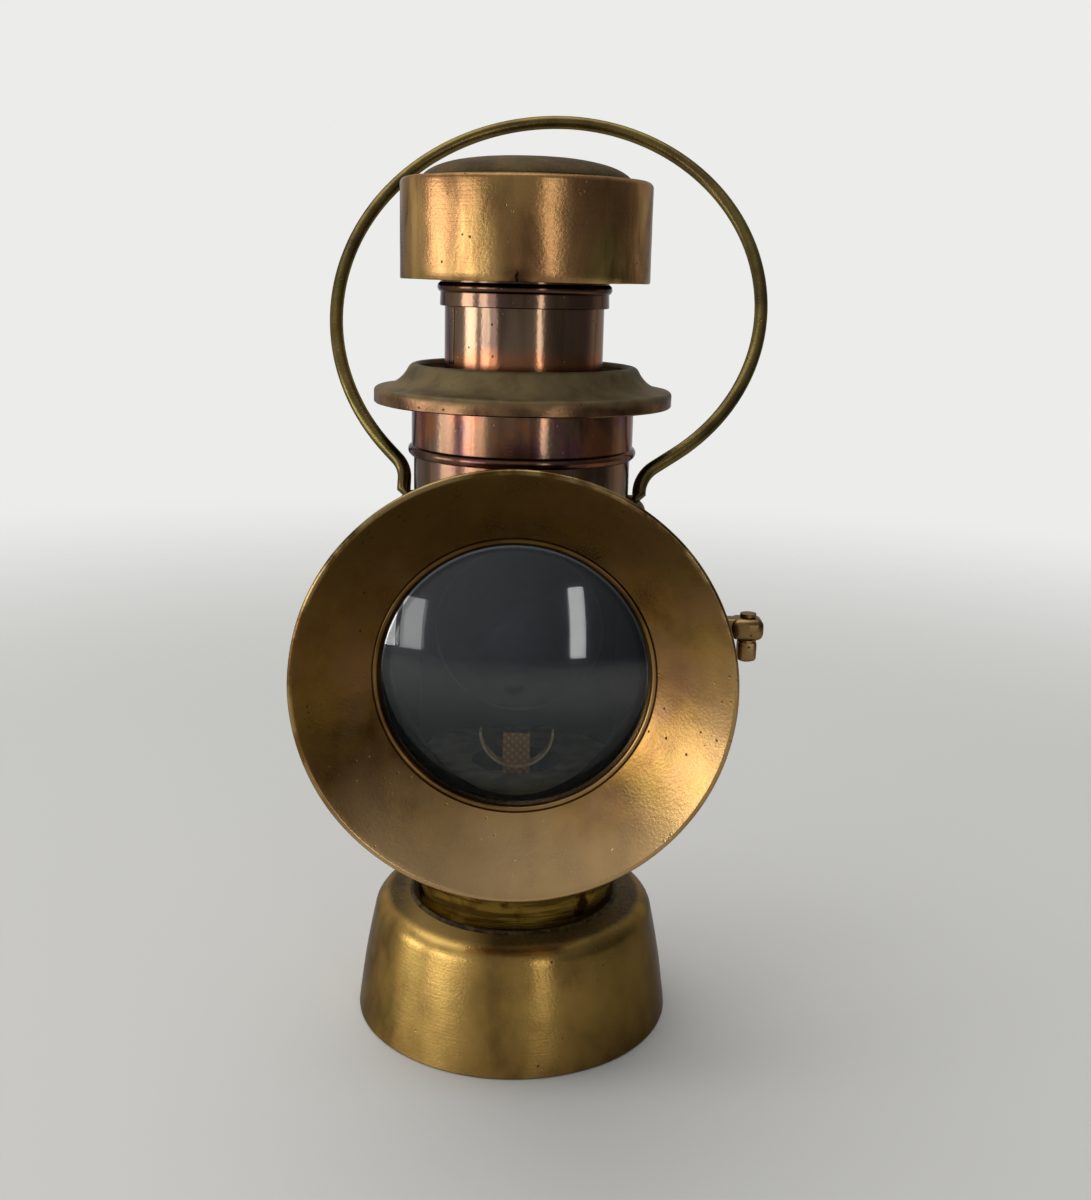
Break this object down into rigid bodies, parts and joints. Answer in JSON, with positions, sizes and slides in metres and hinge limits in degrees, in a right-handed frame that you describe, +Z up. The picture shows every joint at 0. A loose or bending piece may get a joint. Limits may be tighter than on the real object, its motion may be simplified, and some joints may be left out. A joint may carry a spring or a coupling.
{
  "type": "kerosene lamp",
  "caption": "Brass kerosene side lamp with a conical oil font, a hooded lens door on a hinge, a lift-off ventilated cowl and a swinging wire bail.",
  "frame": {"origin": "centre of the flat foot of the font, on the surface that the lamp stands on", "axes": "+Z up along the axis of the font, the case and the cowl; -Y forward along the lens axis; +X towards the door catch"},
  "size_m": [0.1834, 0.1722, 0.3733],
  "materials": {
    "font_brass": "satin brass with a brown patina",
    "neck_brass": "polished yellow brass",
    "burner_brass": "satin brass",
    "wick_cotton": "woven cotton",
    "case_bronze": "heat-tinted bronze",
    "reflector_tin": "polished tinplate",
    "wire_brass": "olive satin brass",
    "door_brass": "satin brass with a brown patina",
    "lens_glass": "polished glass",
    "cowl_bronze": "polished bronze with copper tints",
    "cap_brass": "satin brass with a dusty top"
  },
  "bodies": {
    "font": {"font_shell": "font_brass", "font_bottom": "font_brass", "font_neck": "neck_brass", "burner_collar": "burner_brass", "burner_drum": "burner_brass", "wick_tube": "burner_brass", "burner_saddle": "burner_brass"},
    "winder": {"winder_spindle": "burner_brass", "winder_wheels": "burner_brass", "winder_knob": "burner_brass"},
    "wick": {"wick": "wick_cotton"},
    "case": {"case_tube": "case_bronze", "lens_barrel": "case_bronze", "case_floor": "case_bronze", "reflector": "reflector_tin", "reflector_clip": "case_bronze", "bail_bosses": "case_bronze", "bail_rivets": "wire_brass", "hinge_leaf_case": "case_bronze", "hinge_pin": "wire_brass", "catch_strike": "case_bronze"},
    "door": {"door_ring": "door_brass", "hood": "door_brass", "lens": "lens_glass", "lens_retainer": "door_brass", "hinge_leaf_door": "door_brass", "catch_lug": "door_brass"},
    "catch": {"catch_stem": "door_brass", "catch_tongue": "door_brass", "catch_knob": "door_brass"},
    "cowl": {"cowl_sleeve": "cowl_bronze", "brim": "cap_brass", "stack_spider": "cowl_bronze", "stack_tube": "cowl_bronze", "stack_collar": "cowl_bronze", "cap_struts": "cap_brass", "cap_baffle": "cap_brass", "cap_drum": "cap_brass", "cap_dome": "cap_brass"},
    "bail": {"bail": "wire_brass"}
  },
  "joints": [
    {"name": "case_lift", "type": "slide", "parent": "font", "child": "case", "axis": [0, 0, 1], "range_m": [0, 0.08]},
    {"name": "winder_spin", "type": "hinge", "parent": "font", "child": "winder", "pos_m": [0, 0.0047, 0.08], "axis": [-1, 0, 0], "range_deg": [-60, 90]},
    {"name": "wick_raise", "type": "slide", "parent": "font", "child": "wick", "axis": [0, 0, 1], "range_m": [-0.004, 0.006]},
    {"name": "door_swing", "type": "hinge", "parent": "case", "child": "door", "pos_m": [-0.062, -0.047, 0.1615], "axis": [0, 0, -1], "range_deg": [0, 110]},
    {"name": "catch_turn", "type": "hinge", "parent": "door", "child": "catch", "pos_m": [0.086, -0.048, 0.18], "axis": [0, 0, 1], "range_deg": [0, 90]},
    {"name": "cowl_lift", "type": "slide", "parent": "case", "child": "cowl", "axis": [0, 0, 1], "range_m": [0, 0.06]},
    {"name": "bail_swing", "type": "hinge", "parent": "case", "child": "bail", "pos_m": [0, 0, 0.214], "axis": [-1, 0, 0], "range_deg": [-125, 125]}
  ],
  "couplings": [
    {"joint": "wick_raise", "follows": "winder_spin", "m_per_rad": 0.0036}
  ]
}
